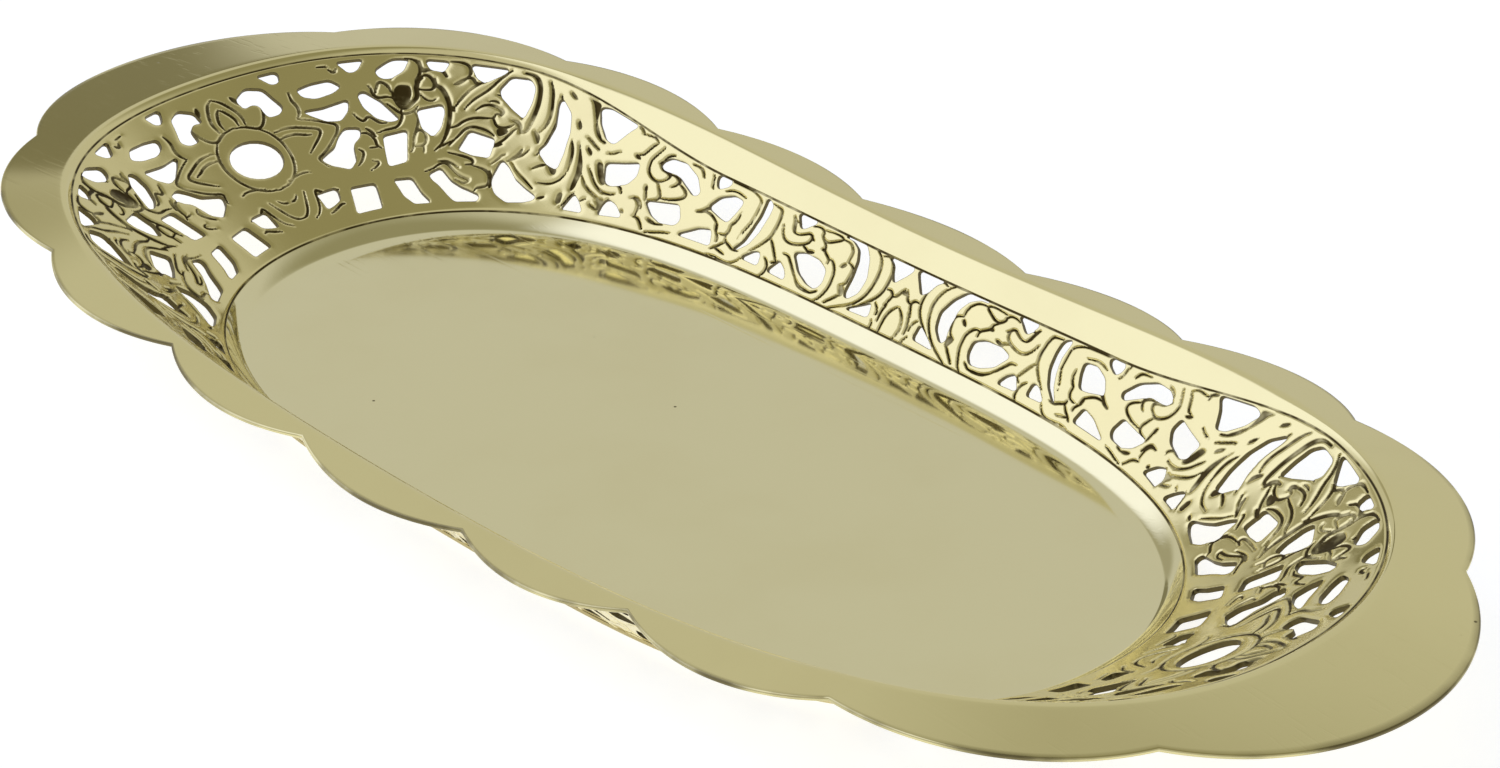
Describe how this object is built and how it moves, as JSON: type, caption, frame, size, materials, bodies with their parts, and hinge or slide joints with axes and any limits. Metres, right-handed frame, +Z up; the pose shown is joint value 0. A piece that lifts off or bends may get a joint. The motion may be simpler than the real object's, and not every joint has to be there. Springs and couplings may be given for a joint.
{
  "type": "oval tray",
  "caption": "Long oval brass tray: flat mirror-polished floor, shallow flared wall pierced and chased with flowers and scrolls, plain cove and a broad scalloped rim.",
  "frame": {"origin": "middle of the tray's underside, on the plane it rests on", "axes": "+X along the length of the tray, +Y across it, +Z up out of the open side"},
  "size_m": [0.3782, 0.1654, 0.0286],
  "materials": {
    "polished_brass": "polished, with light hairline wear and small pits",
    "chased_brass": "polished relief with dark tarnish left in the chased lines",
    "brazing": "dull yellow brazing metal"
  },
  "bodies": {
    "root": {"floor_pan": "polished_brass", "gallery_end_left": "chased_brass", "gallery_end_right": "chased_brass", "gallery_side_back": "chased_brass", "gallery_side_front": "chased_brass", "scalloped_rim": "polished_brass", "foot_seam_solder": "brazing", "rim_seam_solder": "brazing", "panel_joint_solder": "brazing"}
  },
  "joints": []
}
